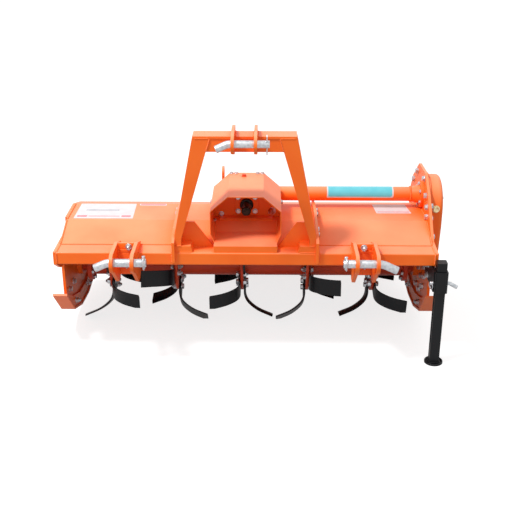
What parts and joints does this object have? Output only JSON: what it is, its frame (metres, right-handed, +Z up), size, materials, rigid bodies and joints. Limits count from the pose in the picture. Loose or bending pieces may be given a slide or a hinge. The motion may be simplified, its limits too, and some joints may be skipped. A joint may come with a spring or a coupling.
{
  "type": "rotavator",
  "caption": "Tractor-mounted rotavator: bladed rotor under a folded hood, side chain drive from a central gearbox, three-point mast, parking stand and hinged trailing board.",
  "frame": {"origin": "midway between the two lower hitch pins, on their common axis", "axes": "+X along the rotor to the chain side, +Y back from the tractor, +Z up"},
  "size_m": [1.4535, 0.893, 0.8636],
  "materials": {
    "frame_paint": "gloss powder-coated steel, orange",
    "rotor_paint": "sprayed enamel over scale, red-orange",
    "blade_steel": "black enamelled spring steel",
    "black_paint": "satin black powder coat",
    "zinc_plate": "bright zinc-plated steel",
    "dark_steel": "oiled, blackened splined steel",
    "seal_black": "black enamel and rubber seal"
  },
  "bodies": {
    "root": {"adjuster_bracket": "frame_paint", "bearing_left": "frame_paint", "chain_case": "frame_paint", "drive_tube": "frame_paint", "front_beam": "frame_paint", "gearbox": "frame_paint", "gearbox_base": "frame_paint", "gearbox_front_plate": "frame_paint", "hinge_rod": "zinc_plate", "hitch_bracket_left": "frame_paint", "hitch_bracket_right": "frame_paint", "hitch_pin_left": "zinc_plate", "hitch_pin_right": "zinc_plate", "hood": "frame_paint", "input_cover": "seal_black", "input_guard": "frame_paint", "mast_bar": "frame_paint", "mast_gusset_left": "frame_paint", "mast_gusset_right": "frame_paint", "mast_post_left": "frame_paint", "mast_post_right": "frame_paint", "mast_rib_left": "frame_paint", "mast_rib_right": "frame_paint", "side_plate_left": "frame_paint", "side_plate_right": "frame_paint", "skid_left": "frame_paint", "skid_right": "frame_paint", "stand_pin": "zinc_plate", "stand_sleeve": "black_paint", "top_lug_left": "frame_paint", "top_lug_right": "frame_paint", "top_pin": "zinc_plate"},
    "rotor": {"rotor_tube": "rotor_paint", "blade_set_1": "blade_steel", "blade_set_2": "blade_steel", "blade_set_3": "blade_steel", "blade_set_4": "blade_steel", "blade_set_5": "blade_steel"},
    "input": {"input_shaft": "dark_steel"},
    "stand": {"stand_leg": "black_paint", "stand_foot": "black_paint"},
    "board": {"trailing_board": "frame_paint", "board_lugs": "frame_paint"},
    "adjuster": {"adjuster_rod": "zinc_plate", "adjuster_spring": "zinc_plate"}
  },
  "joints": [
    {"name": "rotor_spin", "type": "hinge", "parent": "root", "child": "rotor", "pos_m": [0, 0.447, -0.198], "axis": [1, 0, 0], "continuous": true},
    {"name": "input_spin", "type": "hinge", "parent": "root", "child": "input", "pos_m": [0, 0.25, 0.092], "axis": [0, -1, 0], "continuous": true},
    {"name": "stand_slide", "type": "slide", "parent": "root", "child": "stand", "axis": [0, 0, 1], "range_m": [0, 0.24]},
    {"name": "board_hinge", "type": "hinge", "parent": "root", "child": "board", "pos_m": [0, 0.711, -0.188], "axis": [1, 0, 0], "range_deg": [0, 45]},
    {"name": "adjuster_swing", "type": "hinge", "parent": "board", "child": "adjuster", "pos_m": [0, 0.819, -0.26], "axis": [1, 0, 0], "range_deg": [-30, 1]}
  ],
  "couplings": [
    {"joint": "input_spin", "follows": "rotor_spin", "ratio": 2.5},
    {"joint": "adjuster_swing", "follows": "board_hinge", "ratio": -0.625}
  ]
}
